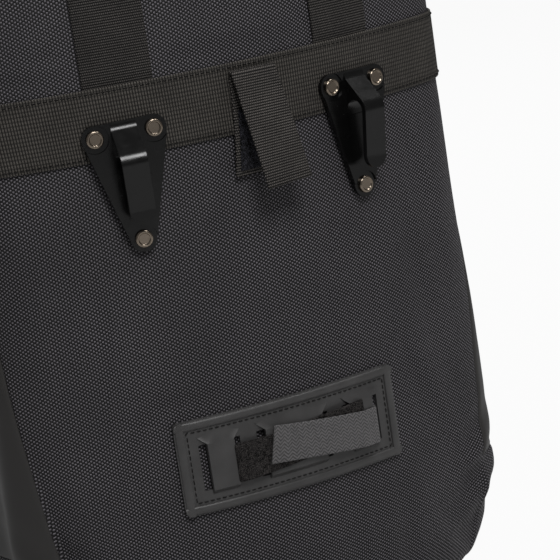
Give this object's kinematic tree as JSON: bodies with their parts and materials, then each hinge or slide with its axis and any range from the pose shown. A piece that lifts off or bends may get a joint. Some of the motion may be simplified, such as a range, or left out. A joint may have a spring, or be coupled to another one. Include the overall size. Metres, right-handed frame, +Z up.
{
  "type": "pannier bag",
  "caption": "Soft bicycle pannier bag with a crowned back carrying moulded rack hooks and a strap plate, webbing carry handles, a hook-and-loop strap and a zip top.",
  "frame": {"origin": "centre of the flat underside of the base, on the floor", "axes": "+Z up along the bag's height, the hooked back faces -Y, +X to the right of a viewer facing the hooks"},
  "size_m": [0.3112, 0.2255, 0.577],
  "materials": {
    "nylon": "coarse woven nylon, coated inside",
    "coated_fabric": "satin coated fabric",
    "board": "plain sheet",
    "webbing": "ribbed webbing",
    "hook_plastic": "satin moulded",
    "rivet": "polished",
    "washer": "plain",
    "plate_rubber": "satin moulded",
    "loop_tape": "fuzzy tape",
    "hook_tape": "hook tape",
    "zip_tape": "woven tape",
    "zip_coil": "coil",
    "zip_metal": "black lacquer"
  },
  "bodies": {
    "bag": {"back_panel": "nylon", "left_side_panel": "coated_fabric", "right_side_panel": "coated_fabric", "front_panel": "coated_fabric", "base_panel": "nylon", "top_panel": "nylon", "back_board": "board", "base_board": "board", "webbing_band": "webbing", "left_hook": "hook_plastic", "right_hook": "hook_plastic", "left_hook_rivets": "rivet", "right_hook_rivets": "rivet", "left_rivet_washers": "washer", "right_rivet_washers": "washer", "rear_handle_left_end": "webbing", "rear_handle_right_end": "webbing", "front_handle_left_end": "webbing", "front_handle_right_end": "webbing", "centre_strap_inner": "webbing", "centre_strap_loop_patch": "loop_tape", "strap_plate": "plate_rubber", "plate_strap_run": "hook_tape", "plate_strap_dark_tail": "hook_tape", "zip_end_tapes": "zip_tape", "zip_end_stops": "zip_metal"},
    "rear_flap": {"rear_top_flap": "nylon", "rear_zip_tape": "zip_tape", "rear_zip_coil": "zip_coil"},
    "front_flap": {"front_top_flap": "nylon", "front_zip_tape": "zip_tape", "front_zip_coil": "zip_coil"},
    "slider": {"zip_slider": "zip_metal"},
    "pull": {"zip_pull": "zip_metal"},
    "rear_handle": {"rear_handle_loop": "webbing"},
    "front_handle": {"front_handle_loop": "webbing"},
    "leaf": {"centre_strap_outer": "webbing", "centre_strap_hook_patch": "hook_tape"},
    "grey_tail": {"plate_strap_grey_tail": "loop_tape"}
  },
  "joints": [
    {"name": "rear_flap_hinge", "type": "hinge", "parent": "bag", "child": "rear_flap", "pos_m": [0, -0.056, 0.426], "axis": [1, 0, 0], "range_deg": [0, 85]},
    {"name": "front_flap_hinge", "type": "hinge", "parent": "bag", "child": "front_flap", "pos_m": [0, 0.056, 0.426], "axis": [-1, 0, 0], "range_deg": [0, 85]},
    {"name": "zip_slide", "type": "slide", "parent": "bag", "child": "slider", "axis": [-1, 0, 0], "range_m": [0, 0.2542]},
    {"name": "pull_hinge", "type": "hinge", "parent": "slider", "child": "pull", "pos_m": [0.1271, 0, 0.4274], "axis": [0, -1, 0], "range_deg": [0, 150]},
    {"name": "rear_handle_swing", "type": "hinge", "parent": "bag", "child": "rear_handle", "pos_m": [0, -0.08678, 0.446], "axis": [1, 0, 0], "range_deg": [-25, 100]},
    {"name": "front_handle_swing", "type": "hinge", "parent": "bag", "child": "front_handle", "pos_m": [0, 0.08811, 0.446], "axis": [-1, 0, 0], "range_deg": [-25, 100]},
    {"name": "centre_strap_lift", "type": "hinge", "parent": "bag", "child": "leaf", "pos_m": [0.00612, -0.09975, 0.35875], "axis": [-0.9998, -0.0174, 0], "range_deg": [0, 92]},
    {"name": "grey_tail_peel", "type": "hinge", "parent": "bag", "child": "grey_tail", "pos_m": [0.05396, -0.09649, 0.144], "axis": [0, 0, 1], "range_deg": [0, 140]}
  ]
}
